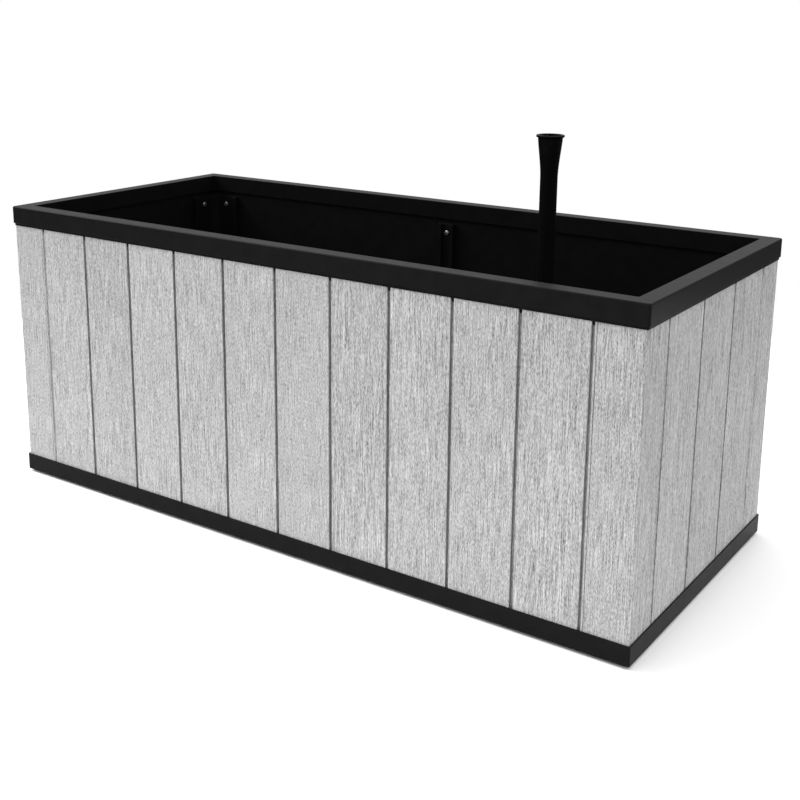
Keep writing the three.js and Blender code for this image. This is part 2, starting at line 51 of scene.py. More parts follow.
CORNER_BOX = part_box("corner_board_front_right")
RIM_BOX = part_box("top_rim")
TUBE_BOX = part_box("fill_tube")

HALF_LENGTH = CORNER_BOX[1].x
HALF_WIDTH = -CORNER_BOX[0].y
WALL_BOTTOM = CORNER_BOX[0].z
WALL_TOP = CORNER_BOX[1].z
RIM_TOP = RIM_BOX[1].z
RIM_PROUD = RIM_BOX[1].x - HALF_LENGTH

# How far the inside of the inner panels lies behind the outside of the boards.
INNER_FACE = 0.021

# ---- Sizes of the boards ----

LONG_BOARDS = 10
SHORT_BOARDS = 3
CORNER_LEG = 0.0725
BOARD_THICKNESS = 0.014
FIT_GAP = 0.0003
SEAM_WIDTH = 0.005
SEAM_DEPTH = 0.006
TONGUE_THICKNESS = 0.0034
TONGUE_REACH = 0.008
SLOT_REACH = 0.0085
EDGE_RADIUS = 0.0008
CORNER_RADIUS = 0.002
SLOPE_REACH = 0.0015
SCORE_INSET = 0.0028
SCORE_WIDTH = 0.0014
SCORE_DEPTH = 0.0012
DRAIN_BOARD = 8
DRAIN_NOTCH_HALF = 0.0163
DRAIN_NOTCH_TOP = 0.0323

# ---- Grain pressed into the boards' faces ----

# Points lie a step apart across the face and a row apart up it. The fine and the broad grain each have
# a width, a length and a share of the relief. Near the edges the grain fades out over the margin.
GRAIN_STEP = 0.0008
GRAIN_ROW = 0.004
GRAIN_RELIEF = 0.0004
GRAIN_MARGIN = 0.0025
FINE_GRAIN = (0.0017, 0.014, 0.75)
BROAD_GRAIN = (0.006, 0.05, 0.25)

# ---- Sizes of the rim, and of the dark tabs under it that paint shade into the seams' tops ----

RIM_HEIGHT = 0.030
RIM_PLATE = 0.004
RIM_EDGE_RADIUS = 0.0025
RIM_CORNER_RADIUS = 0.004
RIM_SKIRT = 0.0028
RIM_FOOT_RADIUS = 0.0005
RIM_CORNER_TAPER = 0.6
UNDER_LIP_PROUD = 0.0012
OPENING_INSET = 0.024
OPENING_RADIUS = 0.003
OPENING_EDGE_RADIUS = 0.0008
TAB_DROP = 0.006
TAB_HIDDEN = 0.003
TAB_HALF_TOP = 0.00245
TAB_HALF_FOOT = 0.0017
TAB_FRONT_TOP = -0.0008
TAB_FRONT_FOOT = 0.0020
TAB_BACK = 0.0055
TAB_EDGE_RADIUS = 0.0004

# ---- Sizes of the tube and screws ----

TUBE_RADIUS = 0.0131
TUBE_WALL = 0.0018
FUNNEL_RADIUS = 0.0186
FUNNEL_LENGTH = 0.062
FLANGE_THICKNESS = 0.0034
FLANGE_EDGE_RADIUS = 0.0009
TUBE_SIDES = 96
NOTCH_WIDTH = 0.008
NOTCH_HEIGHT = 0.012
SCREW_RADIUS = 0.005
SCREW_HEIGHT = 0.0028
SCREW_RIM = 0.0009
SCREW_RECESS = 0.0011
SCREW_SIDES = 32
CROSS_ARM = 0.55 * SCREW_RADIUS
CROSS_HALF = 0.13 * SCREW_RADIUS
CROSS_TAPER = 0.7
SCREW_LEVELS = (0.100, 0.270, 0.442)
POST_WEB = 0.004
SCREW_ALONG_LEG = 0.036

# ---- Rounding of edges ----

EDGE_ROUND = 0.0006
FINE_EDGE_ROUND = 0.0004
EDGE_SEGMENTS = 2

# ---- Looks of the boards, in shades from 0 (black) to 1 (white) ----

BOARD_SHADE = 0.395
FIBRE_CONTRAST = 0.16
STREAK_CONTRAST = 0.18
CLOUD_CONTRAST = 0.018
BOARD_CONTRAST = 0.010

# The "seam" attribute runs from 0 on a board's face to 1 at the foot of its seam edge. The material turns it
# into painted shade down the seams and in the score lines, where the grooves lie in shadow. A corner board's
# sloped edge is open to the light, so an offset is taken off it there, and its score lines have their own
# value. The material keeps SEAM_LIGHT of its shade from that value on, and the foot gets FOOT_LIGHT of the
# painted shade back.
SCORE_SEAM = 0.12
SLOPE_OFFSET = 0.92
SEAM_LIGHT = 0.62
FOOT_LIGHT = 0.35

# ---- Camera and stage ----

FLOOR_REACH = 1.5
FLOOR_SHADE = 0.90
LIGHT_AT_HORIZON = 0.05
LIGHT_OVERHEAD = 1.6
LIGHT_BELOW = 0.1
CAMERA_PLACE = (1.14606, -1.63172, 0.85866)
CAMERA_AZIMUTH = 35.051
CAMERA_ELEVATION = 13.355
CAMERA_ROLL = -0.309
CAMERA_LENS = 54.65
CAMERA_SHIFT = (0.0328, -0.1414)


# ---- Meshes ----

def mesh_object(name, points, faces, smooth_angle=40):
    """A new object from points and faces, smooth except where faces meet at more than smooth_angle."""
    mesh = bpy.data.meshes.new(name)
    mesh.from_pydata([tuple(p) for p in points], [], [tuple(f) for f in faces])
    mesh.validate()
    mesh.update()
    mesh.shade_smooth()
    mesh.set_sharp_from_angle(angle=math.radians(smooth_angle))
    made = bpy.data.objects.new(name, mesh)
    bpy.context.scene.collection.objects.link(made)
    return made


def point_outwards(made):
    """Turns all the faces of a closed mesh to face out."""
    work = bmesh.new()
    work.from_mesh(made.data)
    bmesh.ops.recalc_face_normals(work, faces=work.faces)
    work.to_mesh(made.data)
    work.free()


def wall_frames():
    """Each wall's name, its number of boards, and the matrix from its own frame to the whole object's.

    In a wall's own frame X runs along the wall, counter-clockwise round the box, and Y into the box."""
    walls = []
    names = (("front", LONG_BOARDS), ("right", SHORT_BOARDS), ("back", LONG_BOARDS), ("left", SHORT_BOARDS))
    for index, (name, count) in enumerate(names):
        turn = Matrix.Rotation(index * math.pi / 2, 4, "Z")
        distance = HALF_WIDTH if index % 2 == 0 else HALF_LENGTH
        length = HALF_LENGTH if index % 2 == 0 else HALF_WIDTH
        pitch = 2 * (length - CORNER_LEG) / count
        walls.append((name, count, pitch, turn @ Matrix.Translation((0, -distance, 0))))
    return walls


def corner_frames():
    """Each corner's name and its matrix. Its own frame has one leg along -X and the other along +Y."""
    corners = []
    for index, name in enumerate(("front_right", "back_right", "back_left", "front_left")):
        turn = Matrix.Rotation(index * math.pi / 2, 4, "Z")
        reach_x = HALF_LENGTH if index % 2 == 0 else HALF_WIDTH
        reach_y = HALF_WIDTH if index % 2 == 0 else HALF_LENGTH
        corners.append((name, turn @ Matrix.Translation((reach_x, -reach_y, 0))))
    return corners


# ---- Boards ----

def arc(centre, radius, start, end, steps):
    """Points along an arc, from angle start to angle end in degrees, with both ends."""
    angles = np.radians(np.linspace(start, end, steps + 1))
    return [(centre[0] + radius * math.cos(a), centre[1] + radius * math.sin(a)) for a in angles]


def straight(start, end, step):
    """Points from start to end no further apart than step, without the last one."""
    count = max(1, math.ceil(math.dist(start, end) / step))
    spread = np.linspace(0, 1, count + 1)[:-1]
    return [(start[0] + (end[0] - start[0]) * t, start[1] + (end[1] - start[1]) * t) for t in spread]


def board_outline(pitch):
    """A straight board in plan, front face on Y = 0, tongue on the right and slot on the left."""
    half = pitch / 2
    edge = half - SEAM_WIDTH / 2
    rear = half - FIT_GAP / 2
    tongue_back = SEAM_DEPTH + TONGUE_THICKNESS
    outline = straight((-edge + EDGE_RADIUS, 0), (edge - EDGE_RADIUS, 0), GRAIN_STEP)
    outline += arc((edge - EDGE_RADIUS, EDGE_RADIUS), EDGE_RADIUS, -90, 0, 4)
    outline += [
        (edge, SEAM_DEPTH), (half + TONGUE_REACH, SEAM_DEPTH), (half + TONGUE_REACH, tongue_back),
        (rear, tongue_back), (rear, BOARD_THICKNESS), (-rear, BOARD_THICKNESS),
        (-rear, tongue_back + FIT_GAP), (-half + SLOT_REACH, tongue_back + FIT_GAP),
        (-half + SLOT_REACH, SEAM_DEPTH - FIT_GAP), (-edge, SEAM_DEPTH - FIT_GAP),
    ]
    outline += arc((-edge + EDGE_RADIUS, EDGE_RADIUS), EDGE_RADIUS, 180, 270, 4)[:-1]
    return outline


def corner_outline():
    """A board that wraps round a corner, with sloped seam edges and a score line beside each."""
    edge = CORNER_LEG - SEAM_WIDTH / 2
    foot = CORNER_LEG + SLOPE_REACH
    score = edge - SCORE_INSET
    half_score = SCORE_WIDTH / 2
    rear = CORNER_LEG - FIT_GAP / 2
    tongue_back = SEAM_DEPTH + TONGUE_THICKNESS
    leg = straight((-score + half_score, 0), (-CORNER_RADIUS, 0), GRAIN_STEP)
    outline = leg + arc((-CORNER_RADIUS, CORNER_RADIUS), CORNER_RADIUS, -90, 0, 4)[:-1]
    outline += straight((0, CORNER_RADIUS), (0, score - half_score), GRAIN_STEP)
    outline += [(0, score - half_score), (-SCORE_DEPTH, score), (0, score + half_score)]
    outline += straight((0, score + half_score), (0, edge), GRAIN_STEP)[1:]
    outline += [
        (0, edge), (-SEAM_DEPTH, foot), (-SEAM_DEPTH, CORNER_LEG + TONGUE_REACH),
        (-tongue_back, CORNER_LEG + TONGUE_REACH), (-tongue_back, rear), (-BOARD_THICKNESS, rear),
        (-BOARD_THICKNESS, BOARD_THICKNESS), (-rear, BOARD_THICKNESS), (-rear, tongue_back + FIT_GAP),
        (-CORNER_LEG + SLOT_REACH, tongue_back + FIT_GAP),
        (-CORNER_LEG + SLOT_REACH, SEAM_DEPTH - FIT_GAP), (-foot, SEAM_DEPTH - FIT_GAP),
    ]
    outline += straight((-edge, 0), (-score - half_score, 0), GRAIN_STEP)
    outline += [(-score - half_score, 0), (-score, SCORE_DEPTH)]
    return outline


def streaks(rng, along, up, width, length):
    """Smooth random values, one per (along, up) pair, that change over width sideways and length upwards."""
    u = along / width
    v = up / length
    u = u - u.min()
    v = v - v.min()
    grid = rng.random((int(u.max()) + 3, int(v.max()) + 3))
    iu, iv = u.astype(int), v.astype(int)
    fu, fv = u - iu, v - iv
    fu, fv = fu * fu * (3 - 2 * fu), fv * fv * (3 - 2 * fv)
    fu, fv = fu[:, None], fv[None, :]
    low = grid[np.ix_(iu, iv)] * (1 - fu) + grid[np.ix_(iu + 1, iv)] * fu
    high = grid[np.ix_(iu, iv + 1)] * (1 - fu) + grid[np.ix_(iu + 1, iv + 1)] * fu
    return low * (1 - fv) + high * fv


def board_mesh(name, outline, place, seed):
    """A board from its plan outline, with brushed grain pressed into its outer face.

    The grain fades out towards the face's edges. The material reads two attributes of the points: "seam",
    how deep in a seam a point lies, which it turns into painted shade down the grooves, and "tone", one
    random number for the whole board."""
    rng = np.random.default_rng(seed)
    plan = np.array(outline)
    levels = np.linspace(WALL_BOTTOM, WALL_TOP, math.ceil((WALL_TOP - WALL_BOTTOM) / GRAIN_ROW) + 1)
    ahead, behind = np.roll(plan, -1, axis=0), np.roll(plan, 1, axis=0)
    along = np.concatenate([[0], np.cumsum(np.linalg.norm(np.diff(plan, axis=0), axis=1))])
    tangent = ahead - behind
    tangent /= np.linalg.norm(tangent, axis=1)[:, None]
    inward = np.stack([-tangent[:, 1], tangent[:, 0]], axis=1)
    before = np.linalg.norm(plan - behind, axis=1)
    beyond = np.linalg.norm(ahead - plan, axis=1)
    shorter = np.minimum(before, beyond)
    longer = np.maximum(before, beyond)
    # On the face both neighbours are about a step away; at an edge they are nearer or further.
    off_face = (longer > 1.3 * GRAIN_STEP) | (shorter < 0.5 * GRAIN_STEP)
    from_edge = np.abs(along[:, None] - along[None, off_face]).min(axis=1)
    fade = np.clip(from_edge / GRAIN_MARGIN, 0, 1)
    grain = 0
    for width, length, weight in (FINE_GRAIN, BROAD_GRAIN):
        grain = grain + weight * streaks(rng, along, levels, width, length)
    depth = GRAIN_RELIEF * grain * fade[:, None]
    points = np.zeros((len(levels), len(plan), 3))
    points[:, :, 0] = (plan[:, 0, None] + inward[:, 0, None] * depth).T
    points[:, :, 1] = (plan[:, 1, None] + inward[:, 1, None] * depth).T
    points[:, :, 2] = levels[:, None]
    count = len(plan)
    index = np.arange(len(levels) * count).reshape(len(levels), count)
    after = np.roll(index, -1, axis=1)
    quads = np.stack([index[:-1], after[:-1], after[1:], index[1:]], axis=-1).reshape(-1, 4)
    faces = [tuple(q) for q in quads.tolist()]
    faces.append(tuple(reversed(index[0].tolist())))
    faces.append(tuple(index[-1].tolist()))
    flat = points.reshape(-1, 3)
    made = mesh_object(name, flat, faces, 50)
    seam_painted_shade = made.data.attributes.new("seam", "FLOAT", "POINT")
    # These values become painted shade down the seams and in the score lines, in the board material.
    if "corner" in name:
        inset = np.minimum(np.abs(plan[:, 1]), np.abs(plan[:, 0]))
        shade = np.clip(inset / SEAM_DEPTH - SLOPE_OFFSET, 0, 1)
        shade[np.isclose(inset, SCORE_DEPTH)] = SCORE_SEAM
    else:
        shade = np.clip(plan[:, 1] / SEAM_DEPTH, 0, 1)
    seam_painted_shade.data.foreach_set("value", np.tile(shade, len(levels)).astype(np.float32))
    tone = made.data.attributes.new("tone", "FLOAT", "POINT")
    tone.data.foreach_set("value", np.full(len(flat), rng.random(), np.float32))
    made.data.transform(place)
    return made


def add_boards(material):
    """All the boards of the four walls and the four corners, each in place of its CAD node.

    Each has a random seed of its own, its number in the order of making."""
    seed = 0
    for name, count, pitch, place in wall_frames():
        outline = board_outline(pitch)
        for number in range(1, count + 1):
            shift = Matrix.Translation((pitch * (number - 0.5 - count / 2), 0, 0))
            node = f"{name}_board_{number}"
            seed += 1
            board = board_mesh(f"{node}_grained", outline, place @ shift, seed)
            if name == "back" and number == DRAIN_BOARD:
                cut_drain_notch(board)
            keep_board(board, node, material)
    for name, place in corner_frames():
        node = f"corner_board_{name}"
        seed += 1
        keep_board(board_mesh(f"{node}_grained", corner_outline(), place, seed), node, material)


def cut_drain_notch(board):
    """Room in the board's foot for the base tray's drain block."""
    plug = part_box("drain_plug")
    middle = (plug[0].x + plug[1].x) / 2
    low = Vector((middle - DRAIN_NOTCH_HALF, HALF_WIDTH - 2 * BOARD_THICKNESS, 0))
    high = Vector((middle + DRAIN_NOTCH_HALF, HALF_WIDTH + BOARD_THICKNESS, DRAIN_NOTCH_TOP))
    cut_box(board, low, high, 50)


def keep_board(board, node, material):
    """Gives a board its material and puts it in place of its CAD node."""
    board.data.materials.append(material)
    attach(board, "planter_box")
    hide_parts(node)


# ---- Rim ----

def rounded_loop(inset, radius, level, steps=10):
    """A rounded rectangle inset from the boards' outer face, as points counter-clockwise from above."""
    half_x = HALF_LENGTH - inset - radius
    half_y = HALF_WIDTH - inset - radius
    centres = ((half_x, -half_y, -90), (half_x, half_y, 0), (-half_x, half_y, 90), (-half_x, -half_y, 180))
    loop = []
    for x, y, start in centres:
        loop += [(px, py, level) for px, py in arc((x, y), radius, start, start + 90, steps)]
    return loop


def rim_profile():
    """The rim's closed section as (inset, corner radius, level), from the skirt's foot outwards and up."""
    bottom = RIM_TOP - RIM_HEIGHT
    lip_bottom = RIM_BOX[0].z
    ceiling = RIM_TOP - RIM_PLATE
    outer = -RIM_PROUD
    section = [(outer + RIM_FOOT_RADIUS, RIM_CORNER_RADIUS - RIM_FOOT_RADIUS, bottom)]
    section.append((outer, RIM_CORNER_RADIUS, bottom + RIM_FOOT_RADIUS))
    edge = RIM_EDGE_RADIUS
    for inset, level in arc((outer + edge, RIM_TOP - edge), edge, 180, 90, 6):
        section.append((inset, RIM_CORNER_RADIUS - RIM_CORNER_TAPER * (inset - outer), level))
    edge = OPENING_EDGE_RADIUS
    for inset, level in arc((OPENING_INSET - edge, RIM_TOP - edge), edge, 90, 0, 3):
        section.append((inset, OPENING_RADIUS, level))
    lip_back = OPENING_RADIUS + OPENING_INSET - INNER_FACE
    section += [(OPENING_INSET, OPENING_RADIUS, bottom), (INNER_FACE, lip_back, bottom)]
    section.append((INNER_FACE, lip_back, ceiling))
    clear = RIM_SKIRT - RIM_PROUD
    section += [(clear, CORNER_RADIUS, ceiling), (clear, CORNER_RADIUS, lip_bottom)]
    lip_radius = CORNER_RADIUS + UNDER_LIP_PROUD
    section += [(-UNDER_LIP_PROUD, lip_radius, lip_bottom), (-UNDER_LIP_PROUD, lip_radius, bottom)]
    return section


def band(low, high, count):
    """The faces between two closed rings of count points each, which start at low and at high."""
    faces = []
    for step in range(count):
        after = (step + 1) % count
        faces.append((low + step, low + after, high + after, high + step))
    return faces


def add_rim(material, inside):
    """The one-piece rim; the faces that look into the opening get the darker panel material, as painted
    shade for the inside of the box.
    """
    loops = [rounded_loop(*step) for step in rim_profile()]
    points = [p for loop in loops for p in loop]
    count = len(loops[0])
    faces = []
    for ring in range(len(loops)):
        above = (ring + 1) % len(loops)
        faces += band(ring * count, above * count, count)
    rim = mesh_object("rim_moulding", points, faces, 35)
    point_outwards(rim)
    weight_normals(rim)
    rim.data.materials.append(material)
    rim.data.materials.append(inside)
    # Painted shade: the faces inside the opening, in the box's shadow, take the darker panel material.
    slack = 0.001
    for face in rim.data.polygons:
        inset = min(HALF_LENGTH - abs(face.center.x), HALF_WIDTH - abs(face.center.y))
        if inset > INNER_FACE - slack and face.center.z < RIM_TOP - 2 * slack:
            face.material_index = 1
    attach(rim, "planter_box")
    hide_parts("top_rim")


def add_rim_tabs(material):
    """Tapered dark tabs under the rim, one in the top of each seam: painted shade standing in for the shadow
    there.
    """
    points, faces = [], []
    foot = (RIM_BOX[0].z - TAB_DROP, TAB_HALF_FOOT, TAB_FRONT_FOOT)
    root = (RIM_BOX[0].z + TAB_HIDDEN, TAB_HALF_TOP, TAB_FRONT_TOP)
    for _, count, pitch, place in wall_frames():
        for seam in range(count + 1):
            centre = pitch * (seam - count / 2)
            start = len(points)
            for level, half, front in (foot, root):
                corners = ((-half, front), (half, front), (half, TAB_BACK), (-half, TAB_BACK))
                points += [place @ Vector((centre + x, y, level)) for x, y in corners]
            faces += band(start, start + 4, 4)
            faces.append(tuple(start + k for k in (3, 2, 1, 0)))
            faces.append(tuple(start + k for k in (4, 5, 6, 7)))
    tabs = mesh_object("rim_tabs_painted_shade", points, faces, 30)
    rounding = tabs.modifiers.new("edges", "BEVEL")
    rounding.width = TAB_EDGE_RADIUS
    rounding.segments = EDGE_SEGMENTS
    tabs.data.materials.append(material)
    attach(tabs, "planter_box")


def weight_normals(made):
    """Smooth shading that keeps large flat faces flat."""
    made.modifiers.new("weighted", "WEIGHTED_NORMAL").keep_sharp = True


# ---- Fill tube ----

def tube_profile():
    """The tube's closed section as (radius, height), up the outside and down the inside."""
    top, bottom = TUBE_BOX[1].z, TUBE_BOX[0].z
    flange_radius = (TUBE_BOX[1].x - TUBE_BOX[0].x) / 2
    flare_top = top - FLANGE_THICKNESS
    flare_bottom = top - FUNNEL_LENGTH
    flare = []
    # The flare is a cone with a soft start at the stem and a slight outward curve.
    for t in np.linspace(0, 1, 15):
        ease = t * t * (3 - 2 * t) * 0.35 + t * 0.65
        radius = TUBE_RADIUS + (FUNNEL_RADIUS - TUBE_RADIUS) * ease ** 1.25
        flare.append((radius, flare_bottom + (flare_top - flare_bottom) * t))
    edge = FLANGE_EDGE_RADIUS
    stem = np.linspace(bottom, flare_bottom, 12)[:-1]
    section = [(TUBE_RADIUS, level) for level in stem]
    section += flare
    section += arc((flange_radius - edge, flare_top + edge), edge, -90, 0, 4)
    section += arc((flange_radius - edge, top - edge), edge, 0, 90, 4)
    mouth = FUNNEL_RADIUS - TUBE_WALL
    section += arc((mouth + edge, top - edge), edge, 90, 180, 4)
    section += [(radius - TUBE_WALL, level) for radius, level in reversed(flare)]
    section += [(TUBE_RADIUS - TUBE_WALL, level) for level in reversed(stem)]
    return section


def add_fill_tube(material):
    """The tube turned about its own axis, with its foot notched front and back."""
    section = tube_profile()
    centre = (TUBE_BOX[0] + TUBE_BOX[1]) / 2
    points, faces = [], []
    for side in range(TUBE_SIDES):
        angle = 2 * math.pi * side / TUBE_SIDES
        x, y = math.cos(angle), math.sin(angle)
        points += [(centre.x + r * x, centre.y + r * y, z) for r, z in section]
    count = len(section)
    for side in range(TUBE_SIDES):
        beside = (side + 1) % TUBE_SIDES
        faces += band(side * count, beside * count, count)
    tube = mesh_object("fill_tube_moulding", points, faces, 40)
    point_outwards(tube)
    cut_notches(tube, centre)
    tube.data.materials.append(material)
    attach(tube, "fill_tube")
    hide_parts("fill_tube")


def cut_notches(tube, centre):
    """Notches in the tube's foot, which let the water out."""
    reach = Vector((NOTCH_WIDTH / 2, 3 * TUBE_RADIUS, NOTCH_HEIGHT))
    foot = Vector((centre.x, centre.y, TUBE_BOX[0].z))
    cut_box(tube, foot - reach, foot + reach, 40)


def cut_box(made, low, high, smooth_angle):
    """Takes the box from low to high out of an object's mesh."""
    size = high - low
    ends = (0, 1)
    corners = [low + size * Vector((x, y, z)) for x in ends for y in ends for z in ends]
    faces = [(0, 1, 3, 2), (4, 6, 7, 5), (0, 4, 5, 1), (2, 3, 7, 6), (0, 2, 6, 4), (1, 5, 7, 3)]
    cutter = mesh_object("notch_cutter", corners, faces)
    point_outwards(cutter)
    cut = made.modifiers.new("notches", "BOOLEAN")
    cut.operation = "DIFFERENCE"
    cut.solver = "EXACT"
    cut.object = cutter
    apply_modifiers(made)
    bpy.data.objects.remove(cutter)
    made.data.set_sharp_from_angle(angle=math.radians(smooth_angle))


def apply_modifiers(made):
    """Turns an object's modifiers into its own mesh."""
    graph = bpy.context.evaluated_depsgraph_get()
    mesh = bpy.data.meshes.new_from_object(made.evaluated_get(graph), depsgraph=graph)
    made.modifiers.clear()
    made.data = mesh


# ---- Screws ----

def screw_head(points, faces, place):
    """Adds a pan head with a cross recess to points and faces, its flat underside on Z = 0 of place."""
    start = len(points)
    sides = SCREW_SIDES
    arm, arm_half = CROSS_ARM, CROSS_HALF
    rings = [(SCREW_RADIUS, 0.0), (SCREW_RADIUS, SCREW_RIM)]
    for a in np.radians((18, 36, 52)):
        rings.append((SCREW_RADIUS * math.cos(a), SCREW_RIM + (SCREW_HEIGHT - SCREW_RIM) * math.sin(a)))
    for radius, level in rings:
        for a in 2 * math.pi * np.arange(sides) / sides:
            points.append(place @ Vector((radius * math.cos(a), radius * math.sin(a), level)))
    for ring in range(len(rings) - 1):
        faces += band(start + ring * sides, start + (ring + 1) * sides, sides)
    faces.append(tuple(start + side for side in reversed(range(sides))))
    top = start + (len(rings) - 1) * sides
    crown = len(points)
    cross = []
    for quarter in range(4):
        a = quarter * math.pi / 2
        for x, y in ((arm, -arm_half), (arm, arm_half), (arm_half, arm_half)):
            cross.append((x * math.cos(a) - y * math.sin(a), x * math.sin(a) + y * math.cos(a)))
    for x, y in cross:
        points.append(place @ Vector((x, y, SCREW_HEIGHT)))
    for x, y in cross:
        points.append(place @ Vector((CROSS_TAPER * x, CROSS_TAPER * y, SCREW_HEIGHT - SCREW_RECESS)))
    inner = len(cross)
    faces += band(crown, crown + inner, inner)
    faces.append(tuple(crown + inner + step for step in range(inner)))
    bridge_rings(points, faces, range(top, top + sides), range(crown, crown + inner), place)


def bridge_rings(points, faces, outer, inner, place):
    """Triangles between two closed rings of points, matched by their direction round the middle."""
    back = place.inverted()

    def angle_of(index):
        """A point's direction round the middle, from 0 to a full turn."""
        local = back @ Vector(points[index])
        return math.atan2(local.y, local.x) % (2 * math.pi)

    outer = sorted(outer, key=angle_of)
    inner = sorted(inner, key=angle_of)
    i = j = 0
    while i < len(outer) or j < len(inner):
        a, b = outer[i % len(outer)], inner[j % len(inner)]
        next_a = angle_of(outer[i % len(outer)]) + (2 * math.pi if i >= len(outer) else 0)
        next_b = angle_of(inner[j % len(inner)]) + (2 * math.pi if j >= len(inner) else 0)
        if j >= len(inner) or (i < len(outer) and next_a <= next_b):
            faces.append((a, outer[(i + 1) % len(outer)], b))
            i += 1
        else:
            faces.append((a, inner[(j + 1) % len(inner)], b))
            j += 1


def add_screws(material):
    """The screws that hold each post to the panel behind it, one object for each post."""
    flat_on_wall = Matrix.Rotation(math.pi / 2, 4, "X").inverted()
    on_leg = Matrix.Rotation(math.pi / 2, 4, "Z") @ flat_on_wall
    for name, place in corner_frames():
        points, faces = [], []
        depth = INNER_FACE + POST_WEB
        for level in SCREW_LEVELS:
            on_front = Matrix.Translation((-(INNER_FACE + SCREW_ALONG_LEG), depth, level))
            on_side = Matrix.Translation((-depth, INNER_FACE + SCREW_ALONG_LEG, level))
            screw_head(points, faces, place @ on_front @ flat_on_wall)
            screw_head(points, faces, place @ on_side @ on_leg)
        keep_screws(f"screws_corner_{name}", points, faces, material)
    for name, _, _, place in wall_frames()[::2]:
        points, faces = [], []
        for level in SCREW_LEVELS:
            on_post = Matrix.Translation((0, INNER_FACE + POST_WEB, level))
            screw_head(points, faces, place @ on_post @ flat_on_wall)
        keep_screws(f"screws_middle_{name}", points, faces, material)


def keep_screws(name, points, faces, material):
    """One object of all the screw heads of a post."""
    screws = mesh_object(name, points, faces, 30)
    point_outwards(screws)
    screws.data.materials.append(material)
    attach(screws, "planter_box")


# ---- CAD nodes that keep their own shape ----

def soften(node, width):
    """Rounds the sharp edges of a CAD node and smooths its shading, by modifiers only."""
    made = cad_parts[node]
    weld = made.modifiers.new("weld", "WELD")
    weld.merge_threshold = 0.00001
    bevel = made.modifiers.new("edges", "BEVEL")
    bevel.width = width
    bevel.segments = EDGE_SEGMENTS
    bevel.limit_method = "ANGLE"
    bevel.angle_limit = math.radians(40)
    bevel.miter_outer = "MITER_ARC"
    weight_normals(made)


def dress(nodes, material, width):
    """Gives CAD nodes their material, smooth shading and edges rounded by width."""
    for node in nodes:
        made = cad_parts[node]
        made.data.materials.clear()
        made.data.materials.append(material)
        made.data.shade_smooth()
        soften(node, width)


# ---- Materials ----

def new_material(name):
    """A material with nodes, its node tree and its shader."""
    material = bpy.data.materials.new(name)
    material.use_nodes = True
    tree = material.node_tree
    return material, tree, tree.nodes["Principled BSDF"]


def mapped(tree, scale):
    """The object's own coordinates, stretched by scale along X, Y and Z."""
    place = tree.nodes.new("ShaderNodeTexCoord")
    mapping = tree.nodes.new("ShaderNodeMapping")
    mapping.inputs["Scale"].default_value = scale
    tree.links.new(place.outputs["Object"], mapping.inputs["Vector"])
    return mapping.outputs["Vector"]


def noise(tree, scale, detail=2.0, roughness=0.5, offset=None):
    """Noise over the object's own coordinates; offset, if given, makes each board differ."""
    texture = tree.nodes.new("ShaderNodeTexNoise")
    texture.noise_dimensions = "4D"
    texture.inputs["Scale"].default_value = 1.0
    texture.inputs["Detail"].default_value = detail
    texture.inputs["Roughness"].default_value = roughness
    tree.links.new(mapped(tree, scale), texture.inputs["Vector"])
    if offset is not None:
        tree.links.new(offset, texture.inputs["W"])
    return texture.outputs["Fac"]


def ramp(tree, value, low, high, start, end):
    """Maps value from low..high to start..end."""
    node = tree.nodes.new("ShaderNodeMapRange")
    node.inputs["From Min"].default_value = low
    node.inputs["From Max"].default_value = high
    node.inputs["To Min"].default_value = start
    node.inputs["To Max"].default_value = end
    tree.links.new(value, node.inputs["Value"])
    return node.outputs["Result"]


def calculate(tree, operation, first, second):
    """A sum or product of two values, each a number or a socket."""
    node = tree.nodes.new("ShaderNodeMath")
    node.operation = operation
    for socket, value in zip(node.inputs, (first, second)):
        if isinstance(value, (int, float)):
            socket.default_value = value
        else:
            tree.links.new(value, socket)
    return node.outputs["Value"]


def attribute(tree, name):
    """A number stored in the mesh under that name."""
    node = tree.nodes.new("ShaderNodeAttribute")
    node.attribute_name = name
    return node.outputs["Fac"]


def bump(tree, height, distance):
    """A normal that follows height, which stands for distance where it is 1."""
    node = tree.nodes.new("ShaderNodeBump")
    node.inputs["Distance"].default_value = distance
    tree.links.new(height, node.inputs["Height"])
    return node.outputs["Normal"]


def grey(tree, value):
    """A grey colour from a number."""
    node = tree.nodes.new("ShaderNodeCombineColor")
    for socket in node.inputs:
        tree.links.new(value, socket)
    return node.outputs["Color"]


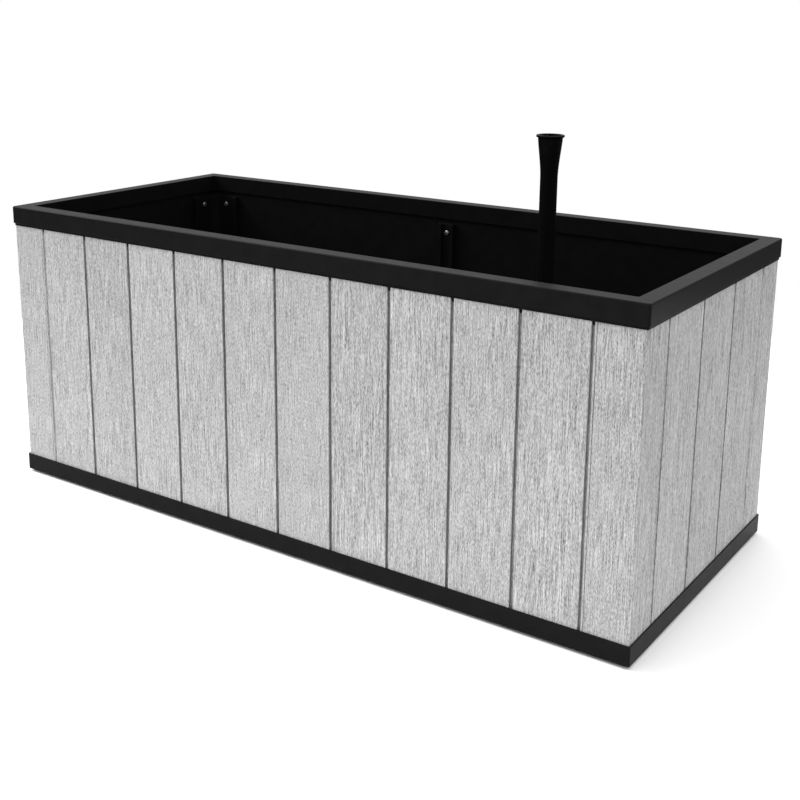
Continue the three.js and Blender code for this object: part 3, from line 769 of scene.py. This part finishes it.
def board_material():
    """Light grey composite with brushed grain: fine broken strokes, longer streaks and a soft cloudiness.

    It is darkened down the seams and in the score lines beside them by painted shade, as the mesh's "seam"
    attribute says."""
    material, tree, shader = new_material("grey_grained_board")
    tone = attribute(tree, "tone")
    offset = calculate(tree, "MULTIPLY", tone, 40.0)
    fibres = noise(tree, (900, 900, 210), 1.0, 0.5, offset)
    streak = noise(tree, (680, 680, 24), 1.0, 0.5, offset)
    cloud = noise(tree, (16, 16, 5), 2.0, 0.5, offset)
    combed = ramp(tree, noise(tree, (30, 30, 12), 1.0, 0.5, offset), 0.40, 0.60, 0.42, 0.92)
    fibre_tone = ramp(tree, fibres, 0.30, 0.70, -FIBRE_CONTRAST, FIBRE_CONTRAST)
    streak_tone = ramp(tree, streak, 0.30, 0.70, -STREAK_CONTRAST, STREAK_CONTRAST)
    streak_tone = calculate(tree, "MULTIPLY", streak_tone, combed)
    cloud_tone = ramp(tree, cloud, 0.30, 0.70, -CLOUD_CONTRAST, CLOUD_CONTRAST)
    board_tone = ramp(tree, tone, 0.0, 1.0, -BOARD_CONTRAST, BOARD_CONTRAST)
    value = calculate(tree, "ADD", fibre_tone, streak_tone)
    value = calculate(tree, "ADD", value, cloud_tone)
    value = calculate(tree, "ADD", value, board_tone)
    value = calculate(tree, "ADD", value, BOARD_SHADE)
    # Painted shade down the seams and in the score lines, where the grooves lie in shadow; the foot gets
    # most of its tone back.
    seam_painted_shade = attribute(tree, "seam")
    groove_painted_shade = ramp(tree, seam_painted_shade, 0.0, SCORE_SEAM, 1.0, SEAM_LIGHT)
    foot_light_back = ramp(tree, seam_painted_shade, 0.6, 1.0, 0.0, FOOT_LIGHT)
    seam = calculate(tree, "ADD", groove_painted_shade, foot_light_back)
    value = calculate(tree, "MULTIPLY", value, seam)
    tree.links.new(grey(tree, value), shader.inputs["Base Color"])
    rough = ramp(tree, streak, 0.3, 0.7, 0.62, 0.78)
    tree.links.new(rough, shader.inputs["Roughness"])
    shader.inputs["Specular IOR Level"].default_value = 0.3
    height = calculate(tree, "ADD", fibres, streak)
    tree.links.new(bump(tree, height, 0.0008), shader.inputs["Normal"])
    return material


def plastic(name, base, roughness, gloss_ior, grain=1100, depth=0.00006):
    """Black moulded plastic: a fine spark texture over a faint unevenness, slightly mottled in gloss.

    A low gloss_ior keeps the reflections weak where a face is seen at a flat angle."""
    material, tree, shader = new_material(name)
    spark = noise(tree, (grain, grain, grain), 2.0, 0.6)
    swirl = noise(tree, (45, 45, 45), 3.0, 0.5)
    tone = ramp(tree, swirl, 0.3, 0.7, base * 0.88, base * 1.12)
    tree.links.new(grey(tree, tone), shader.inputs["Base Color"])
    rough = ramp(tree, swirl, 0.3, 0.7, roughness - 0.03, roughness + 0.03)
    tree.links.new(rough, shader.inputs["Roughness"])
    shader.inputs["IOR"].default_value = gloss_ior
    tree.links.new(bump(tree, spark, depth), shader.inputs["Normal"])
    return material


def rubber():
    """Matt black rubber with a dusty, pitted skin."""
    material, tree, shader = new_material("black_rubber")
    pits = noise(tree, (700, 700, 700), 3.0, 0.6)
    dust = noise(tree, (60, 60, 60), 3.0, 0.6)
    tree.links.new(grey(tree, ramp(tree, dust, 0.3, 0.8, 0.008, 0.020)), shader.inputs["Base Color"])
    tree.links.new(ramp(tree, pits, 0.3, 0.7, 0.80, 0.95), shader.inputs["Roughness"])
    shader.inputs["Specular IOR Level"].default_value = 0.3
    tree.links.new(bump(tree, pits, 0.0001), shader.inputs["Normal"])
    return material


def screw_steel():
    """Black-coated steel, a little worn and glossier than the plastic round it."""
    material, tree, shader = new_material("black_coated_steel")
    wear = noise(tree, (900, 900, 900), 3.0, 0.6)
    tree.links.new(grey(tree, ramp(tree, wear, 0.40, 0.75, 0.12, 0.40)), shader.inputs["Base Color"])
    tree.links.new(ramp(tree, wear, 0.3, 0.7, 0.26, 0.40), shader.inputs["Roughness"])
    shader.inputs["Metallic"].default_value = 0.85
    return material


# ---- Stage ----

def add_floor():
    """A pale floor that ends a little way from the box, because the black mouldings mirror it."""
    material, _, shader = new_material("pale_floor")
    shader.inputs["Base Color"].default_value = (FLOOR_SHADE, FLOOR_SHADE, FLOOR_SHADE, 1)
    shader.inputs["Roughness"].default_value = 0.9
    shader.inputs["Specular IOR Level"].default_value = 0.0
    signs = ((-1, -1), (1, -1), (1, 1), (-1, 1))
    corners = [(x * FLOOR_REACH, y * FLOOR_REACH, 0) for x, y in signs]
    floor = mesh_object("floor", corners, [(0, 1, 2, 3)])
    floor.data.materials.append(material)


def add_world():
    """Soft studio light from all round, brighter overhead than near the horizon; it looks white itself."""
    world = bpy.data.worlds.new("studio")
    bpy.context.scene.world = world
    world.use_nodes = True
    tree = world.node_tree
    place = tree.nodes.new("ShaderNodeTexCoord")
    split = tree.nodes.new("ShaderNodeSeparateXYZ")
    tree.links.new(place.outputs["Generated"], split.inputs["Vector"])
    height = split.outputs["Z"]
    from_above = ramp(tree, height, 0.0, 0.5, LIGHT_AT_HORIZON, LIGHT_OVERHEAD)
    from_above.node.interpolation_type = "SMOOTHSTEP"
    from_below = ramp(tree, height, -0.15, -0.02, LIGHT_BELOW, 0.0)
    strength = calculate(tree, "ADD", from_above, from_below)
    seen = tree.nodes.new("ShaderNodeLightPath").outputs["Is Camera Ray"]
    lit = tree.nodes["Background"]
    tree.links.new(strength, lit.inputs["Strength"])
    lit.inputs["Color"].default_value = (1, 1, 1, 1)
    plain = tree.nodes.new("ShaderNodeBackground")
    plain.inputs["Color"].default_value = (1, 1, 1, 1)
    mix = tree.nodes.new("ShaderNodeMixShader")
    tree.links.new(seen, mix.inputs["Fac"])
    tree.links.new(lit.outputs["Background"], mix.inputs[1])
    tree.links.new(plain.outputs["Background"], mix.inputs[2])
    tree.links.new(mix.outputs["Shader"], tree.nodes["World Output"].inputs["Surface"])


def direction(azimuth, elevation):
    """The way from the box to something at that azimuth and elevation in degrees, 0 being the front."""
    a, e = math.radians(azimuth), math.radians(elevation)
    return Vector((math.sin(a) * math.cos(e), -math.cos(a) * math.cos(e), math.sin(e)))


def add_softbox(name, azimuth, elevation, distance, size, power):
    """A square area light that points at the middle of the box from that side."""
    light = bpy.data.lights.new(name, "AREA")
    light.size = size
    light.energy = power
    lamp = bpy.data.objects.new(name, light)
    bpy.context.scene.collection.objects.link(lamp)
    towards = direction(azimuth, elevation)
    lamp.location = towards * distance + Vector((0, 0, RIM_TOP / 2))
    lamp.rotation_euler = towards.to_track_quat("Z", "Y").to_euler()


def add_camera():
    """The camera, at the place and turn named at the top."""
    camera = bpy.data.cameras.new("camera")
    camera.sensor_width = 36.0
    camera.lens = CAMERA_LENS
    camera.shift_x, camera.shift_y = CAMERA_SHIFT
    roll = math.radians(CAMERA_ROLL)
    back = direction(CAMERA_AZIMUTH, CAMERA_ELEVATION)
    level_right = Vector((0, 0, 1)).cross(back).normalized()
    level_down = -back.cross(level_right)
    right = level_right * math.cos(roll) + level_down * math.sin(roll)
    down = level_down * math.cos(roll) - level_right * math.sin(roll)
    turn = Matrix((right, -down, back)).transposed().to_4x4()
    holder = bpy.data.objects.new("camera", camera)
    holder.matrix_world = Matrix.Translation(CAMERA_PLACE) @ turn
    bpy.context.scene.collection.objects.link(holder)
    bpy.context.scene.camera = holder


# ---- The whole scene ----

def nodes_named(*starts):
    """The CAD nodes whose names start with one of these."""
    return [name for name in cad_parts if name.startswith(starts)]


add_camera()
moulding = plastic("black_moulding", base=0.0085, roughness=0.34, gloss_ior=1.115)
panel = plastic("black_panel", base=0.0035, roughness=0.5, gloss_ior=1.12, grain=900)
reservoir = plastic("black_reservoir", base=0.012, roughness=0.45, gloss_ior=1.3, grain=900)
add_boards(board_material())
add_rim(moulding, panel)
# Dark tabs at the tops of the seams, as painted shade under the rim.
add_rim_tabs(panel)
add_fill_tube(plastic("black_tube", base=0.003, roughness=0.38, gloss_ior=1.12, grain=1300))
add_screws(screw_steel())
dress(["base_tray", "drain_plug"], moulding, EDGE_ROUND)
dress(nodes_named("inner_panel", "corner_post", "mid_post"), panel, EDGE_ROUND)
dress(nodes_named("reservoir_platform", "wick_basket"), reservoir, FINE_EDGE_ROUND)
dress(nodes_named("foot_", "drain_seal"), rubber(), FINE_EDGE_ROUND)
add_floor()
add_world()
add_softbox("key", azimuth=-68, elevation=40, distance=9.0, size=3.0, power=520)

bpy.context.scene.view_settings.view_transform = "Standard"
